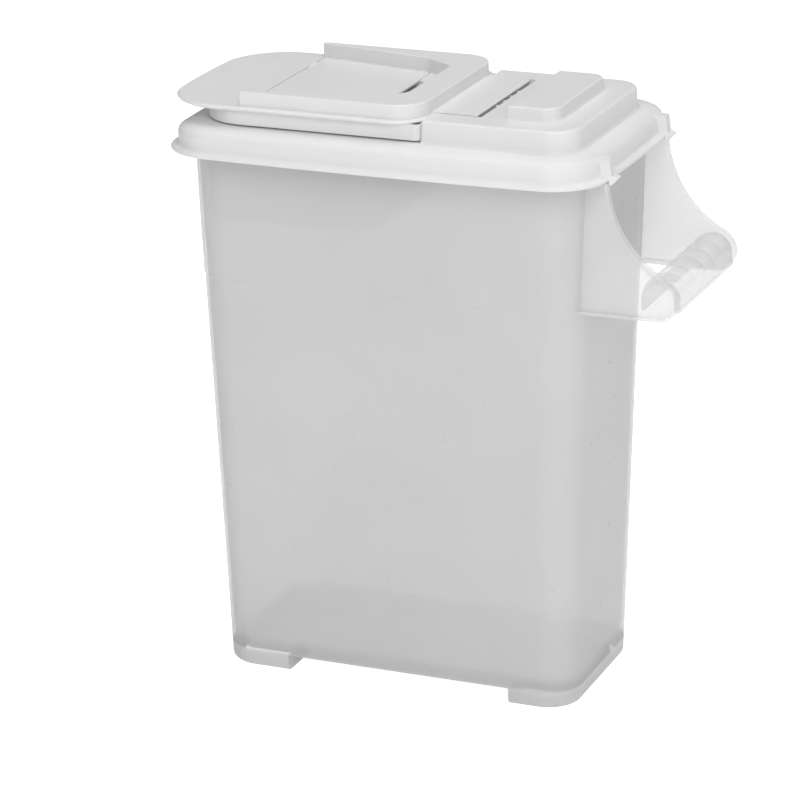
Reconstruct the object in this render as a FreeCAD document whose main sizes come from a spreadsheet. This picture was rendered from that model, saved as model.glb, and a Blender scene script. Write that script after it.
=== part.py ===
"""Pet food bin: a tapered translucent tub with a carrying grip, a push-on lid, a hinged pour
door with its own small flap, and a pour sleeve under the lid. Millimetres, +Z up. The pieces are
drawn about the tub's own centre and shifted along X so that the origin is the middle of the
whole bin's base, with the grip towards +X."""

import FreeCAD, Part
import os

from FreeCAD import Vector
import Sketcher

SIZES = {
    "frame_shift": -21.85,
    # tub
    "base_length": 262.0,
    "base_width": 130.0,
    "base_radius": 24.0,
    "mouth_length": 289.6,
    "mouth_width": 154.4,
    "mouth_radius": 30.0,
    "mouth_height": 393.2,
    "wall": 2.2,
    "foot_height": 12.0,
    "floor_thickness": 3.0,
    "arch_length": 165.0,
    "arch_middle": 3.5,
    "foot_depth": 30.0,
    "end_skirt": 5.0,
    "bead_length": 299.0,
    "bead_width": 177.0,
    "bead_radius": 36.0,
    "bead_thickness": 4.0,
    # handle
    "wing_face": 60.0,
    "wing_thickness": 2.6,
    "wing_root": 120.0,
    "wing_top": 380.5,
    "wing_bottom": 286.6,
    "grip_centre": 191.6,
    "grip_height": 301.0,
    "grip_end_radius": 14.4,
    "grip_radius": 13.2,
    "grip_wall": 2.4,
    "sweep_centre": 230.7,
    "sweep_height": 380.5,
    "sweep_radius": 73.7,
    "ledge_width": 5.0,
    "ledge_thickness": 2.2,
    # lid
    "flange_length": 316.0,
    "flange_width": 196.85,
    "flange_radius": 42.0,
    "flange_base": 381.0,
    "flange_thickness": 3.0,
    "shoulder_length": 306.0,
    "shoulder_width": 184.0,
    "shoulder_radius": 38.0,
    "shoulder_top": 396.0,
    "shoulder_round": 7.0,
    "lid_inside_length": 301.0,
    "lid_inside_width": 179.2,
    "lid_inside_radius": 37.0,
    "lid_ceiling": 393.5,
    "deck_left": 32.4,
    "deck_right": 137.0,
    "deck_width": 145.0,
    "deck_top": 410.0,
    "deck_corner": 20.0,
    "deck_round": 2.0,
    "block_left": 84.0,
    "block_right": 118.0,
    "block_width": 100.0,
    "block_corner": 10.0,
    "skin": 2.5,
    "window_right": 63.5,
    "window_width": 103.0,
    "window_floor": 398.5,
    "rib_gap": 13.0,
    "rib_thickness": 1.4,
    "rib_reach": 1.2,
    "collar_left": -118.0,
    "collar_right": 14.0,
    "collar_width": 124.0,
    "collar_corner": 14.0,
    "collar_top": 404.0,
    "collar_wall": 2.0,
    "tab_left": 150.0,
    "tab_right": 158.0,
    "tab_inner": 68.0,
    "tab_outer": 78.0,
    "tab_top": 394.0,
    # pour door
    "door_left": -162.3,
    "door_right": 32.0,
    "door_width": 154.0,
    "door_left_corner": 42.0,
    "door_right_corner": 22.0,
    "door_top": 410.0,
    "door_thickness": 3.0,
    "skirt_left": -133.0,
    "skirt_right": 27.0,
    "skirt_width": 147.0,
    "skirt_bottom": 397.0,
    "skirt_wall": 2.4,
    "door_rim_left": -100.0,
    "door_rim_right": 30.0,
    "door_rim_width": 145.0,
    "door_rim_top": 419.1,
    "recess_left_half": 69.0,
    "recess_right_half": 54.0,
    "recess_right": 11.0,
    "recess_bend": -8.0,
    "tail_width": 100.0,
    "tail_top": 409.5,
    "tail_thickness": 2.2,
    "door_axis": 57.0,
    "door_axis_height": 405.3,
    "barrel_radius": 4.2,
    "pin_radius": 2.0,
    "pin_clearance": 0.05,
    "pin_span": 106.4,
    # pour flap
    "flap_left": -97.6,
    "flap_right": -15.4,
    "flap_left_half": 66.4,
    "flap_right_half": 53.0,
    "flap_thickness": 1.5,
    "flap_gap": 0.4,
    "flap_ledge": 4.0,
    "flap_barrel": 1.3,
    "knuckle_middle": 44.0,
    "knuckle_length": 10.0,
    "finger_right": -5.0,
    "finger_half": 32.0,
    "finger_depth": 1.8,
    # pour sleeve
    "sleeve_left": -136.0,
    "sleeve_right": 40.0,
    "sleeve_foot_left": -134.0,
    "sleeve_foot_right": -10.0,
    "sleeve_width": 132.0,
    "sleeve_corner": 22.0,
    "sleeve_right_corner": 12.0,
    "sleeve_bend_height": 376.0,
    "sleeve_bottom": 328.0,
    "sleeve_wall": 1.8,
    "sleeve_lip": 3.0,
}

doc = FreeCAD.newDocument("PetFoodBin")
sheet = doc.addObject("Spreadsheet::Sheet", "Sizes")
for row, (alias, size) in enumerate(SIZES.items(), start=1):
    sheet.set(f"A{row}", alias)
    sheet.set(f"B{row}", str(size))
    sheet.setAlias(f"B{row}", alias)
doc.recompute()


def full(text):
    """An expression in which every alias of the sheet is written as Sizes.alias."""
    words = text.replace("(", " ( ").replace(")", " ) ").split()
    return " ".join("Sizes." + word if word in SIZES else word for word in words)


def value(text):
    """The number that an expression gives now, in millimetres."""
    total = sheet.evalExpression(full(text))
    return float(getattr(total, "Value", total))


def new_body(label):
    """A sub-part's body, shifted into the bin's own frame."""
    body = doc.addObject("PartDesign::Body", label)
    body.Label = label
    body.setExpression("Placement.Base.x", full("frame_shift"))
    return body


def new_sketch(body, name, plane, offset):
    """A sketch on one of the body's origin planes, moved along that plane's normal."""
    sketch = body.newObject("Sketcher::SketchObject", name)
    origin = next(item for item in body.Origin.OriginFeatures if item.Role == plane)
    sketch.AttachmentSupport = (origin, [""])
    sketch.MapMode = "FlatFace"
    sketch.setExpression("AttachmentOffset.Base.z", full(offset))
    return sketch


def pin_point(sketch, edge, end, along_x, along_y):
    """Holds one end of an edge at a place given by two expressions."""
    for kind, text in (("DistanceX", along_x), ("DistanceY", along_y)):
        rank = sketch.addConstraint(
            Sketcher.Constraint(kind, -1, 1, edge, end, value(text))
        )
        sketch.setExpression(f"Constraints[{rank}]", full(text))


def outline(body, name, height, left, right, width, left_corner, right_corner):
    """A rounded rectangle on a level plane, symmetric about the XZ plane."""
    sketch = new_sketch(body, name, "XY_Plane", height)
    x_low, x_high, half = value(left), value(right), value(width) / 2
    r_low, r_high = value(left_corner), value(right_corner)
    corners = (
        (x_high - r_high, -half + r_high, r_high, 270),
        (x_high - r_high, half - r_high, r_high, 0),
        (x_low + r_low, half - r_low, r_low, 90),
        (x_low + r_low, -half + r_low, r_low, 180),
    )
    for x, y, radius, start in corners:
        circle = Part.Circle(Vector(x, y, 0), Vector(0, 0, 1), radius)
        first = FreeCAD.Units.Quantity(f"{start} deg").getValueAs("rad").Value
        last = FreeCAD.Units.Quantity(f"{start + 90} deg").getValueAs("rad").Value
        sketch.addGeometry(Part.ArcOfCircle(circle, first, last), False)
    for rank in range(4):
        ending = sketch.Geometry[rank].EndPoint
        starting = sketch.Geometry[(rank + 1) % 4].StartPoint
        sketch.addGeometry(Part.LineSegment(ending, starting), False)
    for rank in range(4):
        line = 4 + rank
        sketch.addConstraint(Sketcher.Constraint("Tangent", rank, 2, line, 1))
        sketch.addConstraint(Sketcher.Constraint("Tangent", line, 2, (rank + 1) % 4, 1))
    for line in (4, 6):
        sketch.addConstraint(Sketcher.Constraint("Vertical", line))
    for line in (5, 7):
        sketch.addConstraint(Sketcher.Constraint("Horizontal", line))
    sketch.addConstraint(Sketcher.Constraint("Equal", 0, 1))
    sketch.addConstraint(Sketcher.Constraint("Equal", 2, 3))
    sizes = (
        ("Radius", (0,), right_corner),
        ("Radius", (2,), left_corner),
        ("DistanceX", (-1, 1, 4, 1), right),
        ("DistanceX", (-1, 1, 6, 1), left),
        ("DistanceY", (-1, 1, 5, 1), f"( {width} ) / 2"),
        ("DistanceY", (-1, 1, 7, 1), f"( {width} ) / -2"),
    )
    for kind, places, text in sizes:
        rank = sketch.addConstraint(Sketcher.Constraint(kind, *places, value(text)))
        sketch.setExpression(f"Constraints[{rank}]", full(text))
    return sketch


def polygon(body, name, plane, offset, points):
    """A closed straight-sided sketch whose corners are pairs of expressions."""
    sketch = new_sketch(body, name, plane, offset)
    places = [Vector(value(x), value(y), 0) for x, y in points]
    count = len(places)
    for rank in range(count):
        side = Part.LineSegment(places[rank], places[(rank + 1) % count])
        sketch.addGeometry(side, False)
    for rank in range(count):
        follower = (rank + 1) % count
        sketch.addConstraint(Sketcher.Constraint("Coincident", rank, 2, follower, 1))
        pin_point(sketch, rank, 1, *points[rank])
    return sketch


def circles(body, name, offset, rounds):
    """Circles on a plane across the bin's width, each from expressions x, height, radius."""
    sketch = new_sketch(body, name, "XZ_Plane", offset)
    for rank, (x, z, radius) in enumerate(rounds):
        middle = Vector(value(x), value(z), 0)
        circle = Part.Circle(middle, Vector(0, 0, 1), value(radius))
        sketch.addGeometry(circle, False)
        pin_point(sketch, rank, 3, x, z)
        size = sketch.addConstraint(
            Sketcher.Constraint("Radius", rank, value(radius))
        )
        sketch.setExpression(f"Constraints[{size}]", full(radius))
    return sketch


def swept(body, kind, name, sketch, length, reverse=False, middle=False):
    """A Pad or Pocket of a sketch; a Pocket that takes nothing away is an error."""
    before = body.Shape.Volume if body.Shape.Solids else 0.0
    feature = body.newObject(f"PartDesign::{kind}", name)
    feature.Profile = sketch
    feature.setExpression("Length", full(length))
    feature.Reversed = reverse
    feature.Midplane = middle
    doc.recompute()
    change = feature.Shape.Volume - before
    if (change > -1.0) if kind == "Pocket" else (change < 1.0):
        raise ValueError(f"{name} of {body.Label} changes the solid by {change:.1f} mm3")
    return feature


def lofted(body, kind, name, first, second):
    """A loft between two sketches: AdditiveLoft or SubtractiveLoft."""
    loft = body.newObject(f"PartDesign::{kind}", name)
    loft.Profile = first
    loft.Sections = [second]
    loft.Ruled = True
    doc.recompute()
    return loft


def rounded(body, name, feature, height, radius):
    """A fillet on every edge of a feature that lies level at one height."""
    level = value(height)
    names = []
    for rank, edge in enumerate(feature.Shape.Edges, start=1):
        box = edge.BoundBox
        if abs(box.ZMin - level) < 0.01 and abs(box.ZMax - level) < 0.01:
            names.append(f"Edge{rank}")
    fillet = body.newObject("PartDesign::Fillet", name)
    fillet.Base = (feature, names)
    fillet.setExpression("Radius", full(radius))
    doc.recompute()
    return fillet


def at_height(low, high, height):
    """A tub size at a height, between its value at the base and at the mouth."""
    return f"{low} + ( {high} - {low} ) * ( {height} ) / mouth_height"


def make_bin_body():
    """The tub, its corner feet, its rim bead and the two wings with the grip: one moulding."""
    body = new_body("bin_body")
    base = outline(body, "Base", "0", "base_length / -2", "base_length / 2",
                   "base_width", "base_radius", "base_radius")
    mouth = outline(body, "Mouth", "mouth_height", "mouth_length / -2", "mouth_length / 2",
                    "mouth_width", "mouth_radius", "mouth_radius")
    lofted(body, "AdditiveLoft", "Tub", base, mouth)
    bead = outline(body, "Bead", "mouth_height", "bead_length / -2", "bead_length / 2",
                   "bead_width", "bead_radius", "bead_radius")
    swept(body, "Pad", "RimBead", bead, "bead_thickness", reverse=True)
    wing_points = (
        ("wing_root", "wing_bottom"),
        ("grip_centre", "wing_bottom"),
        ("grip_centre + 3.3", "grip_height + 13.9"),
        ("grip_centre + 3.3", "wing_top"),
        ("wing_root", "wing_top"),
    )
    for side, face, inward in (("Near", "wing_face", True), ("Far", "wing_face * -1", False)):
        profile = polygon(body, f"{side}WingShape", "XZ_Plane", face, wing_points)
        swept(body, "Pad", f"{side}Wing", profile, "wing_thickness", reverse=inward)
        disc = circles(body, f"{side}DiscShape", face,
                       [("grip_centre", "grip_height", "grip_end_radius")])
        swept(body, "Pad", f"{side}Disc", disc, "wing_thickness", reverse=inward)
    sweep = circles(body, "SweepShape", "0", [("sweep_centre", "sweep_height", "sweep_radius")])
    swept(body, "Pocket", "Sweep", sweep, "wing_face * 2 + 4", middle=True)
    for side, face, outward in (("Near", "wing_face", False), ("Far", "wing_face * -1", True)):
        strip = polygon(body, f"{side}LedgeShape", "XZ_Plane", face, (
            ("wing_root", "wing_bottom"),
            ("grip_centre", "wing_bottom"),
            ("grip_centre", "wing_bottom + ledge_thickness"),
            ("wing_root", "wing_bottom + ledge_thickness"),
        ))
        swept(body, "Pad", f"{side}Ledge", strip, "ledge_width", reverse=outward)
    grip = circles(body, "GripShape", "0", [("grip_centre", "grip_height", "grip_radius")])
    swept(body, "Pad", "Grip", grip, "wing_face * 2 - 1", middle=True)
    hollow = circles(body, "GripHollowShape", "0",
                     [("grip_centre", "grip_height", "grip_radius - grip_wall")])
    swept(body, "Pocket", "GripHollow", hollow, "( wing_face - wing_thickness ) * 2", middle=True)
    slot = polygon(body, "GripSlotShape", "XZ_Plane", "0", (
        ("grip_centre - grip_radius - 1", "grip_height - grip_radius - 1"),
        ("grip_centre + grip_radius - grip_wall", "grip_height - grip_radius - 1"),
        ("grip_centre + grip_radius - grip_wall", "grip_height - grip_radius / 3"),
        ("grip_centre - grip_radius - 1", "grip_height - grip_radius / 3"),
    ))
    swept(body, "Pocket", "GripSlot", slot, "( wing_face - wing_thickness ) * 2", middle=True)
    floor = "foot_height + floor_thickness"
    inside_base = outline(
        body, "InsideBase", floor,
        f"wall - ( {at_height('base_length', 'mouth_length', floor)} ) / 2",
        f"( {at_height('base_length', 'mouth_length', floor)} ) / 2 - wall",
        f"{at_height('base_width', 'mouth_width', floor)} - 2 * wall",
        "base_radius - wall", "base_radius - wall")
    inside_mouth = outline(body, "InsideMouth", "mouth_height", "wall - mouth_length / 2",
                           "mouth_length / 2 - wall", "mouth_width - 2 * wall",
                           "mouth_radius - wall", "mouth_radius - wall")
    lofted(body, "SubtractiveLoft", "Inside", inside_base, inside_mouth)
    arch = polygon(body, "ArchShape", "XZ_Plane", "0", (
        ("arch_middle - arch_length / 2", "-1"),
        ("arch_middle + arch_length / 2", "-1"),
        ("arch_middle + arch_length / 2", "foot_height"),
        ("arch_middle - arch_length / 2", "foot_height"),
    ))
    swept(body, "Pocket", "Arch", arch, "base_width + 40", middle=True)
    under = outline(body, "UnderShape", "-1", "end_skirt - base_length / 2",
                    "base_length / 2 - end_skirt", "base_width - 2 * foot_depth", "4", "4")
    swept(body, "Pocket", "Under", under, "foot_height + 1", reverse=True)
    return body


def make_lid():
    """The push-on lid: rounded shoulder, flange, raised deck with its block, and pour collar."""
    body = new_body("lid")
    shoulder = outline(body, "ShoulderShape", "flange_base", "shoulder_length / -2",
                       "shoulder_length / 2", "shoulder_width", "shoulder_radius",
                       "shoulder_radius")
    pad = swept(body, "Pad", "Shoulder", shoulder, "shoulder_top - flange_base")
    rounded(body, "ShoulderRound", pad, "shoulder_top", "shoulder_round")
    flange = outline(body, "FlangeShape", "flange_base", "flange_length / -2",
                     "flange_length / 2", "flange_width", "flange_radius", "flange_radius")
    swept(body, "Pad", "Flange", flange, "flange_thickness")
    for side, low, high in (("Near", "tab_outer * -1", "tab_inner * -1"),
                            ("Far", "tab_inner", "tab_outer")):
        tab = polygon(body, f"{side}TabShape", "XY_Plane", "flange_base", (
            ("tab_left - 20", low), ("tab_right", low),
            ("tab_right", high), ("tab_left - 20", high),
        ))
        swept(body, "Pad", f"{side}Tab", tab, "tab_top - flange_base")
    deck = outline(body, "DeckShape", "shoulder_top - 1", "deck_left", "deck_right",
                   "deck_width", "1.5", "deck_corner")
    pad = swept(body, "Pad", "Deck", deck, "deck_top - shoulder_top + 1")
    rounded(body, "DeckRound", pad, "deck_top", "deck_round")
    block = outline(body, "BlockShape", "deck_top - 1", "block_left", "block_right",
                    "block_width", "1.5", "block_corner")
    pad = swept(body, "Pad", "Block", block, "door_rim_top - deck_top + 1")
    rounded(body, "BlockRound", pad, "door_rim_top", "deck_round / 2")
    collar = outline(body, "CollarShape", "lid_ceiling", "collar_left", "collar_right",
                     "collar_width", "collar_corner", "collar_corner")
    swept(body, "Pad", "Collar", collar, "collar_top - lid_ceiling")
    inside = outline(body, "InsideShape", "flange_base", "lid_inside_length / -2",
                     "lid_inside_length / 2", "lid_inside_width", "lid_inside_radius",
                     "lid_inside_radius")
    swept(body, "Pocket", "Inside", inside, "lid_ceiling - flange_base", reverse=True)
    opening = outline(body, "OpeningShape", "flange_base", "collar_left + collar_wall",
                      "collar_right - collar_wall", "collar_width - 2 * collar_wall",
                      "collar_corner - collar_wall", "collar_corner - collar_wall")
    swept(body, "Pocket", "Opening", opening, "collar_top - flange_base + 1", reverse=True)
    hollow = outline(body, "DeckHollowShape", "flange_base", "window_right + skin",
                     "deck_right - skin", "deck_width - 2 * skin", "1.5",
                     "deck_corner - skin")
    swept(body, "Pocket", "DeckHollow", hollow, "deck_top - skin - flange_base", reverse=True)
    for side, low, high in (
        ("Near", "skin - deck_width / 2", "window_width / -2 - skin"),
        ("Far", "window_width / 2 + skin", "deck_width / 2 - skin"),
    ):
        pocket = polygon(body, f"{side}HollowShape", "XY_Plane", "flange_base", (
            ("deck_left + skin", low), ("window_right + 2 * skin", low),
            ("window_right + 2 * skin", high), ("deck_left + skin", high),
        ))
        swept(body, "Pocket", f"{side}Hollow", pocket, "deck_top - skin - flange_base",
              reverse=True)
    hollow = outline(body, "BlockHollowShape", "flange_base", "block_left + skin",
                     "block_right - skin", "block_width - 2 * skin", "1.5",
                     "block_corner - skin")
    swept(body, "Pocket", "BlockHollow", hollow, "door_rim_top - skin - flange_base",
          reverse=True)
    window = polygon(body, "WindowShape", "XY_Plane", "window_floor", (
        ("deck_left - 1", "window_width / -2"), ("window_right", "window_width / -2"),
        ("window_right", "window_width / 2"), ("deck_left - 1", "window_width / 2"),
    ))
    swept(body, "Pocket", "Window", window, "deck_top - window_floor + 1", reverse=True)
    for rank in range(4):
        middle = f"rib_gap * {rank - 1.5}"
        rib = polygon(body, f"Rib{rank}Shape", "XY_Plane", "window_floor", (
            ("window_right - rib_reach", f"{middle} - rib_thickness / 2"),
            ("window_right + 1", f"{middle} - rib_thickness / 2"),
            ("window_right + 1", f"{middle} + rib_thickness / 2"),
            ("window_right - rib_reach", f"{middle} + rib_thickness / 2"),
        ))
        swept(body, "Pad", f"Rib{rank}", rib, "deck_top - window_floor - 0.4")
    bore = circles(body, "BoreShape", "0",
                   [("door_axis", "door_axis_height", "pin_radius + pin_clearance")])
    swept(body, "Pocket", "Bore", bore, "pin_span + 0.4", middle=True)
    return body


def make_pour_door():
    """The hinged pour door: plate with a finger lip, skirt, U-shaped rim, tail and hinge pins."""
    body = new_body("pour_door")
    plate = outline(body, "PlateShape", "door_top", "door_left", "door_right", "door_width",
                    "door_left_corner", "door_right_corner")
    swept(body, "Pad", "Plate", plate, "door_thickness", reverse=True)
    skirt = outline(body, "SkirtShape", "skirt_bottom", "skirt_left", "skirt_right",
                    "skirt_width", "door_left_corner - 8", "4")
    swept(body, "Pad", "Skirt", skirt, "door_top - skirt_bottom - 1")
    inside = outline(body, "SkirtInsideShape", "skirt_bottom", "skirt_left + skirt_wall",
                     "skirt_right + 5", "skirt_width - 2 * skirt_wall",
                     "door_left_corner - 8 - skirt_wall", "1.5")
    swept(body, "Pocket", "SkirtInside", inside, "door_top - door_thickness - skirt_bottom",
          reverse=True)
    rim = outline(body, "RimShape", "door_top - 1", "door_rim_left", "door_rim_right",
                  "door_rim_width", "3", "door_right_corner")
    swept(body, "Pad", "Rim", rim, "door_rim_top - door_top + 1")
    recess = polygon(body, "RecessShape", "XY_Plane", "door_top", (
        ("door_rim_left - 1", "recess_left_half * -1"),
        ("recess_bend", "recess_right_half * -1"),
        ("recess_right", "recess_right_half * -1 + 14"),
        ("recess_right", "recess_right_half - 14"),
        ("recess_bend", "recess_right_half"),
        ("door_rim_left - 1", "recess_left_half"),
    ))
    swept(body, "Pocket", "Recess", recess, "door_rim_top - door_top + 1", reverse=True)
    tail = polygon(body, "TailShape", "XY_Plane", "tail_top", (
        ("door_rim_right - 3", "tail_width / -2"), ("door_axis", "tail_width / -2"),
        ("door_axis", "tail_width / 2"), ("door_rim_right - 3", "tail_width / 2"),
    ))
    swept(body, "Pad", "Tail", tail, "tail_thickness", reverse=True)
    barrel = circles(body, "BarrelShape", "0",
                     [("door_axis", "door_axis_height", "barrel_radius")])
    swept(body, "Pad", "Barrel", barrel, "tail_width", middle=True)
    pins = circles(body, "PinShape", "0", [("door_axis", "door_axis_height", "pin_radius")])
    swept(body, "Pad", "Pins", pins, "pin_span", middle=True)
    seat = polygon(body, "FlapSeatShape", "XY_Plane", "door_top - flap_thickness - 0.1", (
        ("flap_left - flap_gap", "flap_left_half * -1 - flap_gap"),
        ("flap_right + flap_gap", "flap_right_half * -1 - flap_gap"),
        ("flap_right + flap_gap", "flap_right_half + flap_gap"),
        ("flap_left - flap_gap", "flap_left_half + flap_gap"),
    ))
    swept(body, "Pocket", "FlapSeat", seat, "flap_thickness + 0.1", reverse=True)
    opening = polygon(body, "PourOpeningShape", "XY_Plane", "door_top - door_thickness", (
        ("flap_left + flap_ledge", "flap_left_half * -1 + flap_ledge"),
        ("flap_right - flap_ledge", "flap_right_half * -1 + flap_ledge"),
        ("flap_right - flap_ledge", "flap_right_half - flap_ledge"),
        ("flap_left + flap_ledge", "flap_left_half - flap_ledge"),
    ))
    swept(body, "Pocket", "PourOpening", opening, "door_thickness", reverse=True)
    finger = polygon(body, "FingerShape", "XY_Plane", "door_top", (
        ("flap_right", "finger_half * -1"), ("finger_right", "finger_half * -1 + 6"),
        ("finger_right", "finger_half - 6"), ("flap_right", "finger_half"),
    ))
    swept(body, "Pocket", "Finger", finger, "finger_depth")
    for side, middle in (("Near", "knuckle_middle"), ("Far", "knuckle_middle * -1")):
        groove = circles(body, f"{side}GrooveShape", f"{middle} + knuckle_length / 2 + 0.3",
                         [("flap_left", "door_top", "flap_barrel + 0.3")])
        swept(body, "Pocket", f"{side}Groove", groove, "knuckle_length + 0.6")
    return body


def make_pour_flap():
    """The small flap in the pour door, with two knuckles on its hinge line."""
    body = new_body("pour_flap")
    shape = polygon(body, "FlapShape", "XY_Plane", "door_top", (
        ("flap_left", "flap_left_half * -1"), ("flap_right", "flap_right_half * -1"),
        ("flap_right", "flap_right_half"), ("flap_left", "flap_left_half"),
    ))
    swept(body, "Pad", "Flap", shape, "flap_thickness", reverse=True)
    for side, middle in (("Near", "knuckle_middle"), ("Far", "knuckle_middle * -1")):
        knuckle = circles(body, f"{side}KnuckleShape", f"{middle} + knuckle_length / 2",
                          [("flap_left", "door_top", "flap_barrel")])
        swept(body, "Pad", f"{side}Knuckle", knuckle, "knuckle_length", reverse=True)
    return body


def sleeve_outlines(body, name, inset):
    """The sleeve's outlines at its top, its bend and its foot, all moved in by one wall."""
    width = f"sleeve_width - 2 * {inset}"
    corners = (f"sleeve_corner - {inset}", f"sleeve_right_corner - {inset}")
    top = ("sleeve_left + " + inset, "sleeve_right - " + inset)
    foot = ("sleeve_foot_left + " + inset, "sleeve_foot_right - " + inset)
    bend = outline(body, f"{name}Bend", "sleeve_bend_height", *top, width, *corners)
    bottom = outline(body, f"{name}Bottom", "sleeve_bottom", *foot, width, *corners)
    crown = outline(body, f"{name}Crown", "sleeve_bend_height", *top, width, *corners)
    return bend, bottom, crown


def make_pour_sleeve():
    """The open sleeve that hangs under the lid and leads the food to the pour opening."""
    body = new_body("pour_sleeve")
    bend, bottom, crown = sleeve_outlines(body, "Outer", "0")
    lofted(body, "AdditiveLoft", "Hopper", bottom, bend)
    swept(body, "Pad", "Neck", crown, "lid_ceiling - sleeve_bend_height")
    lip = outline(body, "LipShape", "lid_ceiling", "sleeve_left - sleeve_lip",
                  "sleeve_right + sleeve_lip", "sleeve_width + 2 * sleeve_lip",
                  "sleeve_corner + sleeve_lip", "sleeve_right_corner + sleeve_lip")
    swept(body, "Pad", "Lip", lip, "sleeve_wall", reverse=True)
    bend, bottom, crown = sleeve_outlines(body, "Inner", "sleeve_wall")
    lofted(body, "SubtractiveLoft", "HopperInside", bottom, bend)
    swept(body, "Pocket", "NeckInside", crown, "lid_ceiling - sleeve_bend_height + 1",
          reverse=True)
    return body


bodies = [
    make_bin_body(),
    make_lid(),
    make_pour_door(),
    make_pour_flap(),
    make_pour_sleeve(),
]
doc.recompute()
for item in doc.Objects:
    if "Invalid" in item.State or "Error" in item.State:
        raise ValueError(f"{item.Label} failed: {item.State}")
os.makedirs("parts", exist_ok=True)
for body in bodies:
    shape = body.Shape
    if shape.isNull() or not shape.isValid() or len(shape.Solids) != 1:
        raise ValueError(f"{body.Label} is not one valid solid")
    box = shape.BoundBox
    print(body.Label, f"{shape.Volume / 1000:.1f} cm3", box)
    shape.exportStep(f"parts/{body.Label}.step")
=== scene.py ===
import math

import bmesh
import bpy
from mathutils import Matrix, Vector


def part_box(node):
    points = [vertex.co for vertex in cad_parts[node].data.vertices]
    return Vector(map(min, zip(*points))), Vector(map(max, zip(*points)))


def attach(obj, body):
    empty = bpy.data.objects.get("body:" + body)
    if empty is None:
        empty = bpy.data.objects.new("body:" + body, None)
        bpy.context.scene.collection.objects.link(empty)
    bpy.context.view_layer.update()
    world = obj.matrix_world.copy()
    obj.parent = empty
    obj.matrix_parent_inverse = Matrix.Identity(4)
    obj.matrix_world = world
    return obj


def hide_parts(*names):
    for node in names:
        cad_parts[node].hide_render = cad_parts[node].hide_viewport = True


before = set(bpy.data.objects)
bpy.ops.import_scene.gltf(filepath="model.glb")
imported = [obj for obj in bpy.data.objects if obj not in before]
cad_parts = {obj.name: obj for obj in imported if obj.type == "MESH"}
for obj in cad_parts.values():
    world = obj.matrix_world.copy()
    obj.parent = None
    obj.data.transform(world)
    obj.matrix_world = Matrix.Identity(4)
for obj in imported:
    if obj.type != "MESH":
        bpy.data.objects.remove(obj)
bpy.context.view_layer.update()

# All shapes below are written in millimetres about the tub's own centre, and at() turns them
# into metres in the row frame. The tub's centre is half a flange in from the lid's left end.
MM = 0.001
lid_low, lid_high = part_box("lid")
door_low, door_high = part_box("pour_door")
body_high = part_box("bin_body")[1]
FLANGE_HALF_LENGTH = 158.0
# The lid's flange hangs lower than its CAD solid, and the door's lip ends a little sooner.
FLANGE_DROP = 3.5
LIP_TRIM = 2.4
# The top faces of the door's rim and the lid's block stand this far above the CAD.
CROWN = 0.6
CENTRE_X = lid_low.x / MM + FLANGE_HALF_LENGTH

FLANGE_HALF_WIDTH = (lid_high.y - lid_low.y) / 2 / MM
FLANGE_BASE = lid_low.z / MM - FLANGE_DROP
TOTAL_HEIGHT = door_high.z / MM
MOUTH_HEIGHT = body_high.z / MM
DOOR_LEFT = door_low.x / MM - CENTRE_X + LIP_TRIM
DOOR_RIGHT = 30.6
GRIP_REACH = body_high.x / MM - CENTRE_X

ARC_STEPS = 12
SIDE_STEPS = 16


def at(x, y, z):
    """A point in millimetres about the tub's centre, in metres in the row frame."""
    return Vector(((x + CENTRE_X) * MM, y * MM, z * MM))


# ---------------------------------------------------------------- mesh tools


def ring(z, left, right, half, left_corner, right_corner, bow=0.0, end_bow=0.0):
    """A level rounded rectangle whose long sides and ends may bulge outwards a little."""
    corners = (
        (right - right_corner, -half + right_corner, right_corner, 270),
        (right - right_corner, half - right_corner, right_corner, 0),
        (left + left_corner, half - left_corner, left_corner, 90),
        (left + left_corner, -half + left_corner, left_corner, 180),
    )
    arcs = []
    for x, y, radius, start in corners:
        turns = [math.radians(start + 90 * k / ARC_STEPS) for k in range(ARC_STEPS + 1)]
        arcs.append([(x + radius * math.cos(a), y + radius * math.sin(a)) for a in turns])
    loop = []
    for k, arc in enumerate(arcs):
        (x0, y0), (x1, y1) = arc[-1], arcs[(k + 1) % 4][0]
        loop += arc
        for step in range(1, SIDE_STEPS):
            part = step / SIDE_STEPS
            loop.append((x0 + (x1 - x0) * part, y0 + (y1 - y0) * part))
    middle, reach = (left + right) / 2, (right - left) / 2
    points = []
    for x, y in loop:
        across = max(0.0, 1 - ((x - middle) / reach) ** 2)
        along = max(0.0, 1 - (y / half) ** 2)
        side = min(1.0, abs(y) / half) ** 4
        end = min(1.0, abs(x - middle) / reach) ** 4
        points.append(at(
            x + math.copysign(end_bow * along * end, x - middle),
            y + math.copysign(bow * across * side, y),
            z,
        ))
    return points


def rounded_loop(points, radii, z):
    """A level polygon with its corners rounded to the given radii."""
    loop = []
    count = len(points)
    for k, (point, radius) in enumerate(zip(points, radii)):
        here = Vector(point)
        before = (Vector(points[k - 1]) - here).normalized()
        after = (Vector(points[(k + 1) % count]) - here).normalized()
        if radius <= 0:
            loop.append(at(here.x, here.y, z))
            continue
        half_angle = before.angle(after) / 2
        start = here + before * radius / math.tan(half_angle)
        end = here + after * radius / math.tan(half_angle)
        centre = here + (before + after).normalized() * radius / math.sin(half_angle)
        first, last = start - centre, end - centre
        sweep = first.angle_signed(last)
        steps = max(2, round(abs(math.degrees(sweep)) / 8))
        for step in range(steps + 1):
            turned = Matrix.Rotation(-sweep * step / steps, 2) @ first
            loop.append(at(centre.x + turned.x, centre.y + turned.y, z))
    return loop


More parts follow.
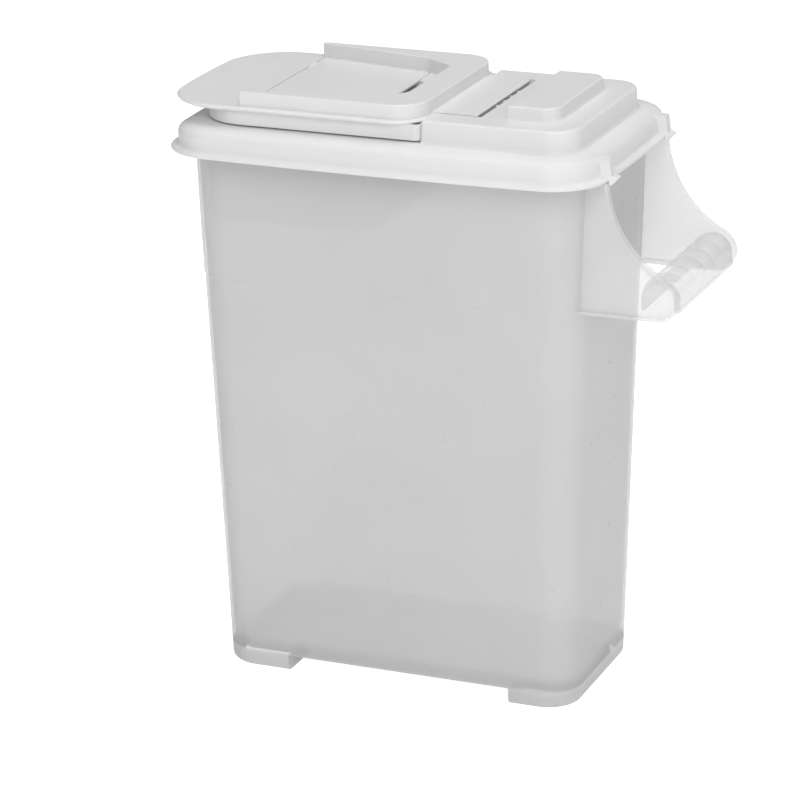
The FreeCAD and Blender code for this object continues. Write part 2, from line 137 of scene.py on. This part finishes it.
def inset_loop(loop, distance, z):
    """A level loop moved inwards by a distance in millimetres, at another height."""
    moved = []
    count = len(loop)
    for k, point in enumerate(loop):
        before = (point - loop[k - 1]).to_2d().normalized()
        after = (loop[(k + 1) % count] - point).to_2d().normalized()
        inward = Vector((-before.y - after.y, before.x + after.x)).normalized()
        reach = distance * MM / max(0.5, inward.dot(Vector((-before.y, before.x))))
        moved.append(Vector((point.x + inward.x * reach, point.y + inward.y * reach, z * MM)))
    return moved


def rounded_top(name, loop, low, high, radius, lean=0.0):
    """A straight-sided solid over a loop, with its top edge rounded and its walls leaning in."""
    rings = [inset_loop(loop, 0.0, low)]
    for turn in range(0, 91, 15):
        angle = math.radians(turn)
        rings.append(inset_loop(loop, lean + radius * (1 - math.cos(angle)),
                                high - radius * (1 - math.sin(angle))))
    return lofted(name, rings)


def lofted(name, rings, closed=True):
    """A closed solid through rings that all have the same number of points."""
    mesh = bpy.data.meshes.new(name)
    count = len(rings[0])
    points = [p for loop in rings for p in loop]
    faces = []
    for level in range(len(rings) - 1):
        for k in range(count):
            here, follower = level * count + k, level * count + (k + 1) % count
            faces.append((here, follower, follower + count, here + count))
    if closed:
        faces.append(tuple(reversed(range(count))))
        top = (len(rings) - 1) * count
        faces.append(tuple(range(top, top + count)))
    mesh.from_pydata(points, [], faces)
    piece = bpy.data.objects.new(name, mesh)
    bpy.context.scene.collection.objects.link(piece)
    facing_out(piece)
    return piece


def facing_out(piece):
    """Turns every face of a closed mesh outwards."""
    work = bmesh.new()
    work.from_mesh(piece.data)
    bmesh.ops.remove_doubles(work, verts=work.verts, dist=1e-6)
    bmesh.ops.recalc_face_normals(work, faces=work.faces)
    work.to_mesh(piece.data)
    work.free()


def prism(name, loop_at, low, high):
    """A straight solid between two heights; loop_at gives the outline at a height."""
    return lofted(name, [loop_at(low), loop_at(high)])


def slab(name, left, right, near, far, low, high):
    """A plain block, used to cut or to add."""
    corners = [(left, near), (right, near), (right, far), (left, far)]
    return prism(name, lambda z: rounded_loop(corners, [0] * 4, z), low, high)


def across_bar(name, outline, near, far, steps=1, shape=None):
    """A solid along Y with an outline of (x, z) points, which shape(outline, y) may vary."""
    rings = []
    for step in range(steps + 1):
        y = near + (far - near) * step / steps
        section = shape(outline, y) if shape else outline
        rings.append([at(x, y, z) for x, z in section])
    return lofted(name, rings)


def disc(x, z, radius, first=0.0, last=360.0, steps=32):
    """Points of a circle, or of an arc of it, as (x, z)."""
    full = abs(last - first) >= 360
    count = steps if full else steps + 1
    turns = [math.radians(first + (last - first) * k / steps) for k in range(count)]
    return [(x + radius * math.cos(a), z + radius * math.sin(a)) for a in turns]


def applied(piece):
    """Applies every modifier of a piece and returns it."""
    bpy.context.view_layer.update()
    graph = bpy.context.evaluated_depsgraph_get()
    mesh = bpy.data.meshes.new_from_object(piece.evaluated_get(graph))
    piece.modifiers.clear()
    piece.data = mesh
    return piece


def joined(piece, operation, *others):
    """Adds or cuts other solids with a boolean, and removes them."""
    for other in others:
        step = piece.modifiers.new("boolean", "BOOLEAN")
        step.operation = operation
        step.solver = "EXACT"
        step.object = other
        applied(piece)
        bpy.data.objects.remove(other)
    return piece


def softened(piece, width, segments=3, angle=32):
    """Rounds a piece's sharp edges and gives it smooth shading with flat faces kept flat."""
    work = bmesh.new()
    work.from_mesh(piece.data)
    bmesh.ops.remove_doubles(work, verts=work.verts, dist=2e-6)
    bmesh.ops.dissolve_limit(work, angle_limit=math.radians(0.3), verts=work.verts,
                             edges=work.edges)
    work.to_mesh(piece.data)
    work.free()
    bevel = piece.modifiers.new("bevel", "BEVEL")
    bevel.width = width * MM
    bevel.segments = segments
    bevel.limit_method = "ANGLE"
    bevel.angle_limit = math.radians(angle)
    bevel.miter_outer = "MITER_ARC"
    applied(piece)
    return smooth(piece)


def smooth(piece, angle=40):
    """Smooth shading, except across edges sharper than the angle."""
    mesh = piece.data
    mesh.polygons.foreach_set("use_smooth", [True] * len(mesh.polygons))
    mesh.set_sharp_from_angle(angle=math.radians(angle))
    weights = piece.modifiers.new("weighted", "WEIGHTED_NORMAL")
    weights.keep_sharp = True
    return piece


# ---------------------------------------------------------------- materials


def node_material(name):
    """A new material with its node tree, shader and a maker of linked nodes."""
    material = bpy.data.materials.new(name)
    material.use_nodes = True
    tree = material.node_tree
    return material, tree, tree.nodes["Principled BSDF"]


def noise(tree, place, scale, detail):
    """A noise texture in the object's own space."""
    texture = tree.nodes.new("ShaderNodeTexNoise")
    texture.inputs["Scale"].default_value = scale
    texture.inputs["Detail"].default_value = detail
    tree.links.new(place.outputs["Object"], texture.inputs["Vector"])
    return texture.outputs["Fac"]


def ramp(tree, source, span, values):
    """Maps a value from one span to another."""
    node = tree.nodes.new("ShaderNodeMapRange")
    node.inputs["From Min"].default_value, node.inputs["From Max"].default_value = span
    node.inputs["To Min"].default_value, node.inputs["To Max"].default_value = values
    tree.links.new(source, node.inputs["Value"])
    return node


def bump(tree, height, strength, distance):
    """A bump of a height given in millimetres."""
    node = tree.nodes.new("ShaderNodeBump")
    node.inputs["Strength"].default_value = strength
    node.inputs["Distance"].default_value = distance * MM
    tree.links.new(height, node.inputs["Height"])
    return node


def moulded_plastic(name, dark, light, roughness, grain_height, wave_height):
    """Polypropylene: faint cloudy colour, uneven gloss, fine grain and slow moulding waves."""
    material, tree, shader = node_material(name)
    links = tree.links
    place = tree.nodes.new("ShaderNodeTexCoord")
    tint = tree.nodes.new("ShaderNodeValToRGB")
    tint.color_ramp.elements[0].position = 0.3
    tint.color_ramp.elements[0].color = (*dark, 1)
    tint.color_ramp.elements[1].position = 0.7
    tint.color_ramp.elements[1].color = (*light, 1)
    links.new(noise(tree, place, 9.0, 4.0), tint.inputs["Fac"])
    links.new(tint.outputs["Color"], shader.inputs["Base Color"])
    rub = noise(tree, place, 160.0, 5.0)
    gloss = ramp(tree, rub, (0, 1), (roughness - 0.07, roughness + 0.07))
    links.new(gloss.outputs["Result"], shader.inputs["Roughness"])
    slow = bump(tree, noise(tree, place, 14.0, 1.0), 0.6, wave_height)
    fine = bump(tree, noise(tree, place, 1400.0, 2.0), 0.35, grain_height)
    links.new(slow.outputs["Normal"], fine.inputs["Normal"])
    links.new(fine.outputs["Normal"], shader.inputs["Normal"])
    return material, shader


# Heights between which the moulding changes from its near solid base to its part clear wall,
# and between which a painted shade that darkens the feet near the floor fades out up the wall.
BASE_THICK = (11.0, 14.5)
BASE_COVER = 0.92
FOOT_FADE = (8.0, 24.0)
FOOT_PAINTED_SHADE = 0.74


def milky_material(name, dark, light, cover):
    """Unpigmented polypropylene: milky, satin, and partly clear over a thin wall."""
    material, shader = moulded_plastic(name, (dark,) * 3, (light,) * 3, 0.3, 0.02, 0.25)
    tree = material.node_tree
    place = tree.nodes.new("ShaderNodeTexCoord")
    split = tree.nodes.new("ShaderNodeSeparateXYZ")
    tree.links.new(place.outputs["Object"], split.inputs["Vector"])
    height = split.outputs["Z"]
    thick = ramp(tree, height, [z * MM for z in BASE_THICK], (BASE_COVER, cover))
    thick.interpolation_type = "SMOOTHSTEP"
    tree.links.new(thick.outputs["Result"], shader.inputs["Alpha"])
    # Painted shade: the base colour is darkened over the feet and fades out above them.
    painted_shade = ramp(tree, height, [z * MM for z in FOOT_FADE], (FOOT_PAINTED_SHADE, 1))
    blend = tree.nodes.new("ShaderNodeVectorMath")
    blend.operation = "SCALE"
    tint = shader.inputs["Base Color"].links[0].from_socket
    tree.links.new(tint, blend.inputs[0])
    tree.links.new(painted_shade.outputs["Result"], blend.inputs["Scale"])
    tree.links.new(blend.outputs["Vector"], shader.inputs["Base Color"])
    shader.inputs["IOR"].default_value = 1.49
    shader.inputs["Coat Weight"].default_value = 0.15
    shader.inputs["Coat Roughness"].default_value = 0.2
    return material


def white_material():
    """White pigmented polypropylene with a satin face."""
    material, shader = moulded_plastic(
        "white_polypropylene", (0.78, 0.78, 0.78), (0.82, 0.82, 0.82), 0.42, 0.02, 0.12)
    shader.inputs["IOR"].default_value = 1.49
    shader.inputs["Subsurface Weight"].default_value = 0.08
    shader.inputs["Subsurface Radius"].default_value = (0.004, 0.004, 0.004)
    return material


def dressed(piece, material, body, slot, *nodes):
    """Gives a finished piece its material and its body, and hides the CAD nodes it replaces; the
    slot is not used.
    """
    piece.data.materials.clear()
    piece.data.materials.append(material)
    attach(piece, body)
    if nodes:
        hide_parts(*nodes)
    return piece


# ---------------------------------------------------------------- tub

BASE_HALF = (131.0, 65.0, 24.0)
MOUTH_HALF = (144.8, 77.2, 30.0)
WALL = 2.2
FOOT_HEIGHT = 12.0
FLOOR_TOP = 15.0
BASE_ROUND = 4.5
STEP_HEIGHT = 286.6
STEP_DEPTH = 0.5
LEFT_TRIM = (0.7, 2.7)


def tub_size(z):
    """The tub's half length, half width and corner radius at a height."""
    part = z / MOUTH_HEIGHT
    return [low + (high - low) * part for low, high in zip(BASE_HALF, MOUTH_HALF)]


def tub_ring(z, inset):
    """A ring of the tub's wall at a height, moved inwards."""
    length, width, corner = tub_size(z)
    inner = max(2.0, corner - inset)
    left = inset - length + LEFT_TRIM[0] + (LEFT_TRIM[1] - LEFT_TRIM[0]) * z / MOUTH_HEIGHT
    return ring(z, left, length - inset, width - inset, inner, inner)


def make_tub():
    """The tub's wall with rounded base edge, faint outer step, rim bead and rounded inside floor."""
    turns = [math.radians(turn) for turn in range(0, 91, 15)]
    outer = [(BASE_ROUND * (1 - math.cos(a)), BASE_ROUND * (1 - math.sin(a))) for a in turns]
    outer += [(z, 0.0) for z in (40, 90, 140, 190, 240, STEP_HEIGHT)]
    outer += [(STEP_HEIGHT + 0.5, -STEP_DEPTH * 0.6), (STEP_HEIGHT + 1.2, -STEP_DEPTH)]
    outer += [(320, -STEP_DEPTH), (350, -STEP_DEPTH * 0.6), (380, 0.0), (388.6, 0.0)]
    outer += [(389.4, -1.2), (390.0, -3.6), (391.0, -4.2), (392.0, -3.6), (MOUTH_HEIGHT, -1.8)]
    inner = [(MOUTH_HEIGHT, WALL - 0.5), (MOUTH_HEIGHT - 0.6, WALL)]
    inner += [(z, WALL) for z in (350, 300, 240, 180, 120, 60, FLOOR_TOP + 9)]
    for turn in (20, 40, 60, 80, 90):
        angle = math.radians(turn)
        inset = WALL + 9 * (1 - math.cos(angle))
        inner.append((FLOOR_TOP + 9 * (1 - math.sin(angle)), inset))
    rings = [tub_ring(z, inset) for z, inset in outer + inner]
    tub = lofted("tub_shell", rings)
    arch_left, arch_right = 3.5 - 82.5, 3.5 + 82.5
    arch = slab("arch_cut", arch_left, arch_right, -90, 90, -5, FOOT_HEIGHT)
    under = prism(
        "under_cut",
        lambda z: ring(z, 5 - BASE_HALF[0], BASE_HALF[0] - 5, BASE_HALF[1] - 30, 5, 5),
        -5, FOOT_HEIGHT)
    return joined(tub, "DIFFERENCE", joined(arch, "UNION", under))


# ---------------------------------------------------------------- handle

WING_FACE = 60.0
WING_THICKNESS = 2.6
WING_TOP = 377.2
GRIP_X, GRIP_Z = GRIP_REACH - 14.4, 301.0
END_RADIUS = 14.4
SWEEP_X, SWEEP_Z, SWEEP_RADIUS = 230.7, 380.4, 73.7


def wall_at(z, y):
    """How far the tub's outer wall reaches along X at a height, at a distance from the middle."""
    length, width, corner = tub_size(z)
    beyond = max(0.0, abs(y) - (width - corner))
    return length - corner + math.sqrt(max(0.0, corner ** 2 - beyond ** 2))


def wing_edge(inset):
    """The wing's free edge from under the lid round the grip's end to the tub, moved inwards."""
    radius = SWEEP_RADIUS + inset
    end = END_RADIUS - inset
    gap = math.hypot(SWEEP_X - GRIP_X, SWEEP_Z - GRIP_Z)
    toward = math.degrees(math.atan2(GRIP_Z - SWEEP_Z, GRIP_X - SWEEP_X)) % 360
    cosine = (gap ** 2 + radius ** 2 - end ** 2) / (2 * gap * radius)
    meet = toward - math.degrees(math.acos(max(-1.0, min(1.0, cosine))))
    under_lid = 180 + math.degrees(math.asin((SWEEP_Z - WING_TOP) / radius))
    sweep = disc(SWEEP_X, SWEEP_Z, radius, under_lid, meet, 26)
    last = sweep[-1]
    start = math.degrees(math.atan2(last[1] - GRIP_Z, last[0] - GRIP_X))
    return sweep + disc(GRIP_X, GRIP_Z, end, start, -90, 22)[1:]


def make_wing(side):
    """One thin wing with its return lip round the free edge; side is -1 near and +1 far."""
    face, back = side * WING_FACE, side * (WING_FACE - WING_THICKNESS)
    edge = wing_edge(0.0)
    base = edge[-1][1]
    root = [
        (wall_at(base + (WING_TOP - base) * k / 8, 58.7) - 1.2, base + (WING_TOP - base) * k / 8)
        for k in range(9)
    ]
    wing = across_bar("wing", edge + root, min(face, back), max(face, back))
    lip_far = side * (WING_FACE + 3.2)
    inner = wing_edge(2.0)
    band = edge + [(root[0][0], base), (root[0][0], base + 2.0)] + list(reversed(inner))
    lip = across_bar("lip", band, min(back, lip_far), max(back, lip_far))
    return joined(wing, "UNION", lip)


def make_grip():
    """The grip: an inverted U along Y with finger ridges over its back and a lip below."""
    near = WING_FACE - WING_THICKNESS + 0.4
    foot = GRIP_Z - 8.6
    outer = [(GRIP_X + 13.4, foot), (GRIP_X + 13.4, foot + 2.0), (GRIP_X + 12.4, foot + 2.6)]
    outer += disc(GRIP_X, GRIP_Z, 12.4, 0, 180, 24)
    outer += [(GRIP_X - 12.4, foot)]
    inner = [(GRIP_X - 10.2, foot)] + disc(GRIP_X, GRIP_Z, 10.2, 180, 0, 24)
    inner += [(GRIP_X + 10.2, foot)]
    outline = outer + inner

    def ridged(points, y):
        """Swells the back of the grip into rounded ridges between the fingers."""
        wave = abs(math.sin(math.pi * 6 * (y + near) / (2 * near))) ** 0.7
        swell = 1.5 * wave * min(1.0, (near - abs(y)) / 4)
        shaped = []
        for x, z in points:
            rise = max(0.0, (z - GRIP_Z) / 12.4)
            if (x - GRIP_X) ** 2 + (z - GRIP_Z) ** 2 < 11.5 ** 2:
                rise = 0.0
            scale = 1 + swell * min(1.0, rise * 1.6) / 12.4
            shaped.append((GRIP_X + (x - GRIP_X) * scale, GRIP_Z + (z - GRIP_Z) * scale))
        return shaped

    return across_bar("grip", outline, -near, near, 144, ridged)


# ---------------------------------------------------------------- lid

LID_TOP = 396.0
LID_CEILING = 393.5
DECK_TOP = 410.9
LID_LEFT_TRIM = 3.4
DECK = (31.0, 137.0, 72.5)
BLOCK = (82.4, 118.0, 50.0)
FLANGE_BOW, FLANGE_END_BOW = 4.0, 2.5
FLANGE_CORNER = 34.0
HINGE_X, HINGE_Z = 57.0, 405.3
TAIL_TOP = 411.3
WINDOW_RIGHT, WINDOW_HALF = 65.8, 51.5


def lid_ring(z, inset):
    """A ring of the lid's outline, moved inwards."""
    length = FLANGE_HALF_LENGTH - FLANGE_END_BOW - inset
    width = FLANGE_HALF_WIDTH - FLANGE_BOW - inset
    corner = max(8.0, FLANGE_CORNER - inset)
    return ring(z, LID_LEFT_TRIM - length, length, width, corner, corner,
                FLANGE_BOW, FLANGE_END_BOW)


def make_lid_shell():
    """The lid's skin: flared flange with a bead, waist, rounded shoulder and level top."""
    rise = FLANGE_BASE
    outside = [
        (rise, 1.0), (rise + 0.2, 0.4), (rise + 0.8, 0.0), (rise + 1.6, 0.0), (rise + 2.2, 0.4),
        (rise + 2.7, 1.3), (rise + 3.2, 2.8), (rise + 4.0, 4.2), (rise + 5.4, 5.0),
        (rise + 7.5, 5.2), (rise + 10.0, 5.1), (rise + 12.2, 5.2), (rise + 14.0, 5.8),
        (rise + 15.6, 7.3), (rise + 16.8, 9.6), (rise + 17.7, 12.8), (rise + 18.2, 16.3),
        (LID_TOP, 20.5),
    ]
    inside = [
        (LID_CEILING, 22.0), (LID_CEILING - 0.1, 11.5), (rise + 15.3, 9.3), (rise + 14.0, 8.1),
        (rise + 10.0, 7.5), (rise + 5.0, 7.3), (rise + 2.5, 5.4), (rise, 3.0),
    ]
    rings = [lid_ring(z, inset) for z, inset in inside + outside]
    shell = lofted("lid_shell", rings, closed=False)
    work = bmesh.new()
    work.from_mesh(shell.data)
    edges = [edge for edge in work.edges if edge.is_boundary]
    bmesh.ops.holes_fill(work, edges=edges)
    bmesh.ops.recalc_face_normals(work, faces=work.faces)
    work.to_mesh(shell.data)
    work.free()
    return shell


def soft_plateau(name, box, low, high, left_corner, right_corner, spread, rounding):
    """A raised step with a spread foot, slightly leaning walls and a rounded top edge."""
    left, right, half = box
    levels = [(low - 0.8, spread), (low + 0.1, spread), (low + 0.5, spread * 0.5),
              (low + 1.3, spread * 0.15), (low + 2.2, 0.0)]
    lean = 0.6
    for turn in (0, 22, 45, 68, 90):
        angle = math.radians(turn)
        levels.append((high - rounding * (1 - math.sin(angle)),
                       -lean - rounding * (1 - math.cos(angle))))
    rings = []
    for z, out in levels:
        rings.append(ring(z, left - min(out, 0.3), right + out, half + out,
                          max(0.6, left_corner + min(out, 0.3)), max(1.0, right_corner + out)))
    return lofted(name, rings)


def make_lid():
    """The whole lid: skin, deck, block, hinge window with ribs, collar and corner tabs."""
    shell = make_lid_shell()
    deck = soft_plateau("deck", DECK, LID_TOP, DECK_TOP, 2.0, 20.0, 1.6, 2.4)
    block = soft_plateau("block", BLOCK, DECK_TOP, TOTAL_HEIGHT + CROWN, 1.6, 11.0, 1.0, 1.5)
    window = slab("window", 20, WINDOW_RIGHT, -WINDOW_HALF, WINDOW_HALF, 398.5, 420)
    joined(deck, "DIFFERENCE", window)
    joined(shell, "UNION", deck, block)
    for side in (-1, 1):
        near, far = sorted((side * 53.0, side * 60.6))
        points = [(149, 378.4), (157.5, 378.4), (157.7, 375.6), (159.2, 375.6), (163.6, 380.4),
                  (159.2, 381.9), (157.9, 391.6), (157.0, 392.9), (146, 393.6)]
        joined(shell, "UNION", across_bar("tab", points, near, far))
    collar = prism("collar", lambda z: ring(z, -118, 14, 62, 14, 14), LID_CEILING, 404)
    joined(shell, "UNION", collar)
    opening = prism("opening", lambda z: ring(z, -116, 12, 60, 12, 12), 380, 410)
    joined(shell, "DIFFERENCE", opening)
    for rank in range(4):
        middle = 13.0 * (rank - 1.5)
        rib = slab("rib", WINDOW_RIGHT - 1.6, WINDOW_RIGHT + 1, middle - 1.2, middle + 1.2,
                   398, DECK_TOP - 0.1)
        joined(shell, "UNION", rib)
    for side in (-1, 1):
        near, far = sorted((side * (WINDOW_HALF - 0.2), side * (WINDOW_HALF + 2)))
        boss = across_bar("boss", disc(HINGE_X, HINGE_Z, 3.6), near, far)
        joined(shell, "UNION", boss)
    return shell


# ---------------------------------------------------------------- pour door and flap

PLATE_TOP = 410.0
PLATE_BASE = 407.0
PLATE_END_BOW = 4.5
RIM = (-100.0, 30.0, 72.5)
RECESS = [(-100, -69.0), (-14, -53.5), (8, -38.0), (8, 38.0), (-14, 53.5), (-100, 69.0)]
RECESS_RADII = [1.7, 18, 9, 9, 18, 1.7]
SCOOP = [(-18, -32.0), (2, -21.0), (2, 21.0), (-18, 32.0)]
SCOOP_FLOOR = 404.6
FLAP = (-97.6, -11.0, 66.4, 50.4)


def plate_ring(z, inset):
    """A ring of the door plate's outline, moved inwards."""
    return ring(z, DOOR_LEFT + PLATE_END_BOW + inset, DOOR_RIGHT - inset, 77.0 - inset,
                39.0 - inset, 22.0 - inset, 0.0, PLATE_END_BOW)


def flap_corners(gap):
    """The flap's four corners, grown by a gap."""
    left, right, wide, narrow = FLAP
    return [(left - gap, -wide - gap), (right + gap, -narrow - gap),
            (right + gap, narrow + gap), (left - gap, wide + gap)]


def make_door_plate():
    """The door's plate, with the flap's seat, the pour opening and the finger scoop."""
    plate = lofted("pour_door_plate", [
        plate_ring(PLATE_BASE, 2.4), plate_ring(PLATE_BASE + 0.1, 1.3),
        plate_ring(PLATE_BASE + 0.7, 0.5), plate_ring(PLATE_BASE + 1.7, 0.0),
        plate_ring(PLATE_TOP - 1.0, 0.1), plate_ring(PLATE_TOP - 0.35, 0.7),
        plate_ring(PLATE_TOP - 0.05, 1.6), plate_ring(PLATE_TOP, 2.6)])
    seat = lofted("seat", [rounded_loop(flap_corners(0.45), [0, 4.4, 4.4, 0], z)
                           for z in (PLATE_TOP - 1.6, PLATE_TOP + 2)])
    opening = lofted("pour_opening", [rounded_loop(flap_corners(-4.0), [3] * 4, z)
                                      for z in (400, 413)])
    scoop = lofted("scoop", [rounded_loop(SCOOP, [1, 10, 10, 1], z)
                             for z in (SCOOP_FLOOR, 413)])
    # The pad under the plate closes the bottom of the scoop.
    pad = slab("pad", -14.6, 4.5, -34, 34, SCOOP_FLOOR - 1.2, PLATE_BASE + 1)
    joined(plate, "UNION", pad)
    joined(plate, "DIFFERENCE", seat, opening, scoop)
    return smooth(plate, 30)


def make_door_skirt():
    """The skirt under the plate, a closed wall with rounded corners."""
    skirt = lofted("pour_door_skirt", [
        ring(z, -133 - lean, 30.8, 72.6 + lean, 34, 5) for z, lean in ((397.0, 0.8), (407.6, 0.0))])
    hollow = prism("skirt_hollow", lambda z: ring(z, -130.6, 28.8, 70.6, 32, 3), 390, 420)
    joined(skirt, "DIFFERENCE", hollow)
    return softened(skirt, 0.5, 2)


def make_door_rim():
    """The U-shaped rim that stands on the plate, with rounded walls all round its recess."""
    left, right, half = RIM
    points = [(left, -half), (right, -half), (right, half), (left, half)]
    points += reversed(RECESS)
    radii = [1.7, 22, 22, 1.7] + list(reversed(RECESS_RADII))
    loop = rounded_loop(points, radii, 0)
    rim = rounded_top("pour_door_rim", loop, PLATE_TOP - 1, TOTAL_HEIGHT + CROWN, 1.1, 0.1)
    return smooth(rim, 30)


def make_door_tail():
    """The tail that reaches over the deck to the hinge, with its undercut end and its pins."""
    tail = across_bar("pour_door_tail", [
        (26, 407.3), (26, TAIL_TOP), (HINGE_X + 1.5, TAIL_TOP), (HINGE_X + 3.8, TAIL_TOP - 0.2),
        (HINGE_X + 4.6, TAIL_TOP - 0.7), (HINGE_X + 4.7, TAIL_TOP - 1.3),
        (HINGE_X + 2.0, TAIL_TOP - 4.8), (HINGE_X + 1.0, 401.0), (HINGE_X - 2.5, 400.4),
        (HINGE_X - 6.5, 407.3)], -50, 50)
    pins = across_bar("pins", disc(HINGE_X, HINGE_Z, 2.0, steps=20), -53.2, 53.2)
    joined(tail, "UNION", pins)
    return softened(tail, 0.4, 2)


def make_pour_flap():
    """The small flap: a thin plate with rounded free corners."""
    flap = lofted("pour_flap_plate", [
        rounded_loop(flap_corners(-0.1), [0.5, 4, 4, 0.5], z)
        for z in (PLATE_TOP - 1.4, PLATE_TOP + 0.1)])
    return softened(flap, 0.4, 2)


def make_flap_knuckle(side):
    """One of the flap's two hinge knuckles."""
    near, far = sorted((side * 39.0, side * 49.0))
    knuckle = across_bar("knuckle", disc(FLAP[0], PLATE_TOP, 1.25, steps=18), near, far)
    return softened(knuckle, 0.25, 2)


# ---------------------------------------------------------------- scene


def make_stage(material_colour):
    """A plain pale floor that runs well past the view."""
    mesh = bpy.data.meshes.new("floor")
    reach = 6.0
    corners = [(-reach, -reach, 0), (reach, -reach, 0), (reach, reach, 0), (-reach, reach, 0)]
    mesh.from_pydata([Vector(p) for p in corners], [], [(0, 1, 2, 3)])
    floor = bpy.data.objects.new("floor", mesh)
    bpy.context.scene.collection.objects.link(floor)
    material, tree, shader = node_material("floor_paper")
    shader.inputs["Base Color"].default_value = (*material_colour, 1)
    shader.inputs["Roughness"].default_value = 0.9
    shader.inputs["Emission Color"].default_value = (1, 1, 1, 1)
    path = tree.nodes.new("ShaderNodeLightPath")
    glow = tree.nodes.new("ShaderNodeMath")
    glow.operation = "MULTIPLY_ADD"
    glow.inputs[1].default_value = 0.5
    glow.inputs[2].default_value = 0.3
    tree.links.new(path.outputs["Is Camera Ray"], glow.inputs[0])
    tree.links.new(glow.outputs["Value"], shader.inputs["Emission Strength"])
    mesh.materials.append(material)


def area_light(name, place, target, size, power):
    """A soft square light that faces a point."""
    light = bpy.data.lights.new(name, "AREA")
    light.shape = "SQUARE"
    light.size = size
    light.energy = power
    holder = bpy.data.objects.new(name, light)
    holder.location = place
    holder.rotation_euler = (Vector(target) - Vector(place)).to_track_quat("-Z", "Y").to_euler()
    bpy.context.scene.collection.objects.link(holder)


# The surround's strength at its left and right ends.
WORLD_STRENGTH = (0.08, 0.46)


def make_world():
    """A dim white surround that is darker towards the left end."""
    world = bpy.data.worlds.new("studio")
    world.use_nodes = True
    nodes, links = world.node_tree.nodes, world.node_tree.links
    place = nodes.new("ShaderNodeTexCoord")
    split = nodes.new("ShaderNodeSeparateXYZ")
    links.new(place.outputs["Generated"], split.inputs["Vector"])
    fade = ramp(world.node_tree, split.outputs["X"], (-1, 1), WORLD_STRENGTH)
    links.new(fade.outputs["Result"], nodes["Background"].inputs["Strength"])
    nodes["Background"].inputs["Color"].default_value = (1, 1, 1, 1)
    bpy.context.scene.world = world


def make_lights():
    """A large key and a low fill from the near side, one over the lid, one at the grip end."""
    middle = (0, 0, 0.25)
    area_light("key", (0.5, -2.15, 2.15), middle, 1.7, 29)
    area_light("fill", (0.4, -2.6, 0.35), middle, 1.4, 9)
    area_light("top", (0.0, 0.3, 2.4), middle, 1.6, 21)
    area_light("right", (2.3, -0.6, 1.0), middle, 1.4, 4.5)
    make_world()
    bpy.context.scene.view_settings.view_transform = "Standard"


def make_camera():
    """The camera: near long side and grip end in view, looking a little down."""
    azimuth, elevation, roll = (math.radians(a) for a in (22.85, 19.39, -1.09))
    distance, aside, upward = 2.554, 0.01098, 0.01819
    ahead = Vector((-math.sin(azimuth) * math.cos(elevation),
                    math.cos(azimuth) * math.cos(elevation), -math.sin(elevation)))
    right = Vector((math.cos(azimuth), math.sin(azimuth), 0))
    above = right.cross(ahead)
    rolled_right = right * math.cos(roll) + above * math.sin(roll)
    rolled_up = above * math.cos(roll) - right * math.sin(roll)
    aim = at(0, 0, TOTAL_HEIGHT / 2) + Vector((0, 0, 0.00045))
    place = aim - ahead * distance - rolled_right * aside - rolled_up * upward
    lens = bpy.data.cameras.new("camera")
    lens.sensor_width = 36.0
    lens.lens = 166.2363
    lens.shift_x, lens.shift_y = -0.0089125, -0.001625
    lens.clip_start = 0.05
    holder = bpy.data.objects.new("camera", lens)
    turn = Matrix((rolled_right, rolled_up, -ahead)).transposed().to_4x4()
    holder.matrix_world = Matrix.Translation(place) @ turn
    bpy.context.scene.collection.objects.link(holder)
    bpy.context.scene.camera = holder


# The handle's copy of the same milky plastic is painted lighter than the tub's, as painted light,
# and is a little more clear.
milky = milky_material("milky_polypropylene", 0.73, 0.77, 0.56)
milky_handle_painted_lighter = milky_material("milky_polypropylene_painted_lighter", 0.8, 0.84, 0.5)
white = white_material()

tub = smooth(make_tub(), 30)
tub.name = "tub"
dressed(tub, milky, "bin", "translucent_polypropylene", "bin_body")
for side, label in ((-1, "near"), (1, "far")):
    wing = softened(make_wing(side), 0.6)
    wing.name = f"wing_{label}"
    dressed(wing, milky_handle_painted_lighter, "bin", "translucent_polypropylene")
grip = smooth(make_grip(), 40)
dressed(grip, milky_handle_painted_lighter, "bin", "translucent_polypropylene")

lid = smooth(make_lid(), 30)
lid.name = "lid_visual"
dressed(lid, white, "lid", "white_polypropylene", "lid")
door_pieces = [make_door_plate(), make_door_skirt(), make_door_rim(), make_door_tail()]
for piece in door_pieces:
    dressed(piece, white, "pour_door", "white_polypropylene")
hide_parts("pour_door")
flap = dressed(make_pour_flap(), white, "pour_flap", "white_polypropylene", "pour_flap")
for side, label in ((-1, "near"), (1, "far")):
    knuckle = make_flap_knuckle(side)
    knuckle.name = f"pour_flap_knuckle_{label}"
    dressed(knuckle, white, "pour_flap", "white_polypropylene")

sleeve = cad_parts["pour_sleeve"]
sleeve.data.materials.clear()
sleeve.data.materials.append(white)

make_stage((0.9, 0.9, 0.9))
make_lights()
make_camera()
